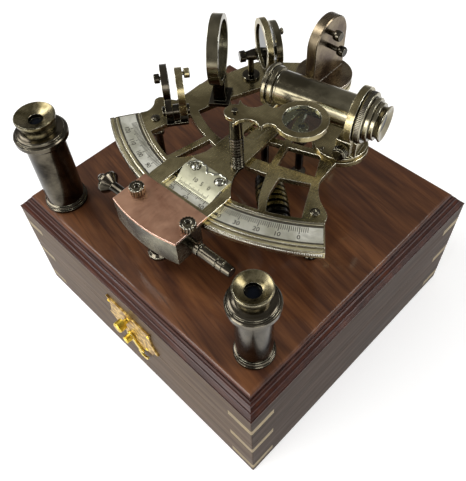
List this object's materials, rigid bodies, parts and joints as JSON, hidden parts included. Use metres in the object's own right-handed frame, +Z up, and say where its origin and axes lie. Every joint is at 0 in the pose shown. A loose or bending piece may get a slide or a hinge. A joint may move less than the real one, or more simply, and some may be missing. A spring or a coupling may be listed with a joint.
{
  "type": "boxed sextant",
  "caption": "Hinged hardwood box with a hook latch, carrying a brass sextant with a swinging index arm, mirrors, shades and telescope, and two spare telescopes.",
  "frame": {"origin": "centre of the box's underside", "axes": "+X to the right along the latch wall, +Y towards the hinges, +Z up; the latch is on the -Y wall"},
  "size_m": [0.26, 0.2597, 0.2328],
  "materials": {
    "hardwood": "dark polished hardwood",
    "inlay_brass": "dull flush inlay",
    "latch_brass": "bright",
    "antique_brass": "olive, polished on the edges",
    "dark_bronze": "dark lacquer, glossy",
    "copper": "brushed, copper tone",
    "silvered": "silvered, satin",
    "mirror": "polished",
    "lens_glass": "clear",
    "shade_glass": "dark tint"
  },
  "bodies": {
    "case": {"case_floor": "hardwood", "case_front_wall": "hardwood", "case_back_wall": "hardwood", "case_side_walls": "hardwood", "case_corner_inlays": "inlay_brass", "fitted_blocks": "hardwood", "latch_case_plate": "latch_brass", "latch_pivot": "latch_brass", "hinge_case_leaves": "latch_brass", "hinge_pins": "latch_brass"},
    "hook": {"latch_hook": "latch_brass"},
    "lid": {"lid_board": "hardwood", "lid_front_wall": "hardwood", "lid_back_wall": "hardwood", "lid_side_walls": "hardwood", "lid_corner_inlays": "inlay_brass", "latch_lid_plate": "latch_brass", "latch_stud": "latch_brass", "hinge_lid_leaves": "latch_brass"},
    "sextant": {"sextant_frame": "antique_brass", "arc_scale": "silvered", "frame_legs": "antique_brass", "handle_grip": "antique_brass", "handle_posts": "antique_brass", "scope_stand": "antique_brass", "scope_barrel": "antique_brass", "scope_front_lens": "lens_glass", "horizon_mirror_ring": "antique_brass", "horizon_mirror_glass": "mirror", "horizon_bracket": "antique_brass", "index_shade_bracket": "dark_bronze", "horizon_shade_bracket": "dark_bronze"},
    "index_arm": {"index_arm": "antique_brass", "vernier_plate": "silvered", "worm_block": "antique_brass", "worm_block_cover": "copper", "cover_screws": "antique_brass", "index_mirror_frame": "antique_brass", "index_mirror_glass": "mirror", "index_mirror_screws": "antique_brass", "magnifier_post": "dark_bronze"},
    "magnifier": {"magnifier_arm": "antique_brass", "magnifier_lens": "lens_glass"},
    "tangent_screw": {"tangent_screw": "antique_brass", "tangent_knob": "dark_bronze"},
    "clamp_knob": {"clamp_knob": "dark_bronze"},
    "scope_eyepiece": {"scope_eyepiece": "antique_brass"},
    "scope_clamp_screw": {"scope_clamp_screw": "antique_brass"},
    "index_shade_1": {"index_shade_1": "antique_brass", "index_shade_1_glass": "shade_glass"},
    "index_shade_2": {"index_shade_2": "antique_brass", "index_shade_2_glass": "shade_glass"},
    "horizon_shade_1": {"horizon_shade_1": "antique_brass", "horizon_shade_1_glass": "shade_glass"},
    "horizon_shade_2": {"horizon_shade_2": "antique_brass", "horizon_shade_2_glass": "shade_glass"},
    "spare_scope_1": {"spare_scope_1_barrel": "dark_bronze", "spare_scope_1_eyepiece": "antique_brass"},
    "spare_scope_2": {"spare_scope_2_barrel": "dark_bronze", "spare_scope_2_eyepiece": "antique_brass"}
  },
  "joints": [
    {"name": "lid_hinge", "type": "hinge", "parent": "case", "child": "lid", "pos_m": [0, 0.1247, 0.06], "axis": [-1, 0, 0], "range_deg": [0, 100]},
    {"name": "hook_swing", "type": "hinge", "parent": "case", "child": "hook", "pos_m": [0.0025, -0.124, 0.0555], "axis": [0, -1, 0], "range_deg": [-35, 150]},
    {"name": "sextant_lift", "type": "slide", "parent": "lid", "child": "sextant", "axis": [0, 0, 1], "range_m": [0, 0.15]},
    {"name": "index_arm_swing", "type": "hinge", "parent": "sextant", "child": "index_arm", "pos_m": [-0.0043, 0.1039, 0.164], "axis": [0, 0, 1], "range_deg": [-16, 6]},
    {"name": "tangent_screw_spin", "type": "hinge", "parent": "index_arm", "child": "tangent_screw", "pos_m": [0.00389, -0.07641, 0.1568], "axis": [0.999, 0.0454, 0], "continuous": true},
    {"name": "clamp_knob_turn", "type": "hinge", "parent": "index_arm", "child": "clamp_knob", "pos_m": [0.00418, -0.08291, 0.1423], "axis": [0, 0, 1], "range_deg": [-180, 0]},
    {"name": "magnifier_swing", "type": "hinge", "parent": "index_arm", "child": "magnifier", "pos_m": [0.01386, -0.0117, 0.2128], "axis": [0, 0, 1], "range_deg": [-125, 0]},
    {"name": "eyepiece_focus", "type": "slide", "parent": "sextant", "child": "scope_eyepiece", "axis": [0.9751, 0.2215, 0], "range_m": [0, 0.006]},
    {"name": "stand_clamp_turn", "type": "hinge", "parent": "sextant", "child": "scope_clamp_screw", "pos_m": [0.06079, 0.04414, 0.1735], "axis": [0.2215, -0.9751, 0], "range_deg": [0, 360]},
    {"name": "index_shade_1_swing", "type": "hinge", "parent": "sextant", "child": "index_shade_1", "pos_m": [-0.04549, 0.07344, 0.184], "axis": [-0.5329, -0.8462, 0], "range_deg": [0, 95]},
    {"name": "index_shade_2_swing", "type": "hinge", "parent": "sextant", "child": "index_shade_2", "pos_m": [-0.04123, 0.08021, 0.184], "axis": [-0.5329, -0.8462, 0], "range_deg": [0, 95]},
    {"name": "horizon_shade_1_swing", "type": "hinge", "parent": "sextant", "child": "horizon_shade_1", "pos_m": [-0.05735, -0.01094, 0.174], "axis": [0.6046, 0.7965, 0], "range_deg": [-35, 45]},
    {"name": "horizon_shade_2_swing", "type": "hinge", "parent": "sextant", "child": "horizon_shade_2", "pos_m": [-0.05106, -0.00266, 0.174], "axis": [0.6046, 0.7965, 0], "range_deg": [-73, 40]},
    {"name": "spare_scope_1_lift", "type": "slide", "parent": "lid", "child": "spare_scope_1", "axis": [0, 0, 1], "range_m": [0, 0.12]},
    {"name": "spare_scope_2_lift", "type": "slide", "parent": "lid", "child": "spare_scope_2", "axis": [0, 0, 1], "range_m": [0, 0.12]}
  ]
}
